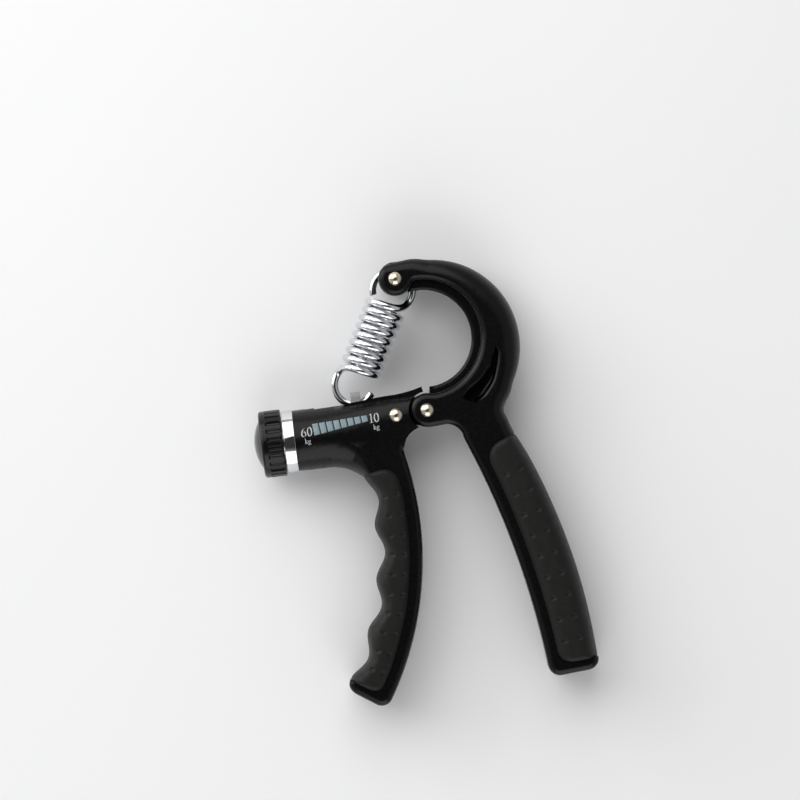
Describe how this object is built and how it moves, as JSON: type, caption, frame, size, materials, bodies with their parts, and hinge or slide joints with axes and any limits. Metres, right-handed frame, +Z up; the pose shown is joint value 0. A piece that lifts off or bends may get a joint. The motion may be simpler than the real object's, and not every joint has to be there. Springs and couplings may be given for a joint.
{
  "type": "adjustable hand gripper",
  "caption": "Spring hand grip exerciser: two rubber-clad handles on a pivot, an extension spring across a bow, and a knob in a barrel that sets its pull.",
  "frame": {"origin": "middle of the outline in plan, on the rest plane under the lying object", "axes": "+Z up from the rest plane, +Y from the handles' ends towards the bow, +X from the knob towards the bow's back"},
  "size_m": [0.117, 0.1516, 0.023],
  "materials": {
    "black_plastic": "satin black moulding",
    "grip_rubber": "matt charcoal with small dimples",
    "chrome": "bright plated",
    "zinc": "plain zinc",
    "steel": "bright turned steel",
    "brass": "plain",
    "nylon": "natural"
  },
  "bodies": {
    "housing": {"front_handle_frame": "black_plastic", "finger_grip": "grip_rubber", "trim_ring": "chrome", "barrel_bush": "nylon", "bearing_block": "zinc", "bearing_block_rivet": "chrome", "pivot_bush": "brass"},
    "adjuster": {"knob": "black_plastic", "knob_cap": "black_plastic", "lead_screw": "steel", "knob_screw": "steel", "thrust_washer": "nylon"},
    "slider": {"slider_nut": "zinc"},
    "arm": {"rear_arm_frame": "black_plastic", "palm_grip": "grip_rubber", "pivot_rivet": "chrome"},
    "spring_seat": {"spring_anchor_pin": "chrome"},
    "spring": {"extension_spring": "chrome"}
  },
  "joints": [
    {"name": "slider_travel", "type": "slide", "parent": "housing", "child": "slider", "axis": [0.9923, 0.1236, 0], "range_m": [-0.0126, 0.0048]},
    {"name": "knob_turn", "type": "hinge", "parent": "housing", "child": "adjuster", "pos_m": [-0.0444, 0.01396, 0.0115], "axis": [-0.9923, -0.1236, 0], "range_deg": [-3630.2, 1383.8]},
    {"name": "spring_stretch", "type": "slide", "parent": "spring_seat", "child": "spring", "axis": [-0.1134, -0.9936, 0], "range_m": [0, 0.01137], "deforming": ["extension_spring"]},
    {"name": "grip_squeeze", "type": "hinge", "parent": "housing", "child": "arm", "pos_m": [0.0003, 0.02446, 0.0115], "axis": [0, 0, -1], "range_deg": [0, 25.1], "stiffness_Nm_per_rad": 13, "springref_deg": -1.15},
    {"name": "spring_swing", "type": "hinge", "parent": "arm", "child": "spring_seat", "pos_m": [-0.0106, 0.06896, 0.0115], "axis": [0, 0, 1], "range_deg": [-14.84, 5.72]}
  ],
  "couplings": [
    {"joint": "knob_turn", "follows": "slider_travel", "rad_per_m": 5026.5},
    {"joint": "spring_swing", "follows": "slider_travel", "rad_per_m": 20.42},
    {"joint": "grip_squeeze", "follows": "spring_stretch", "rad_per_m": 38.376}
  ]
}
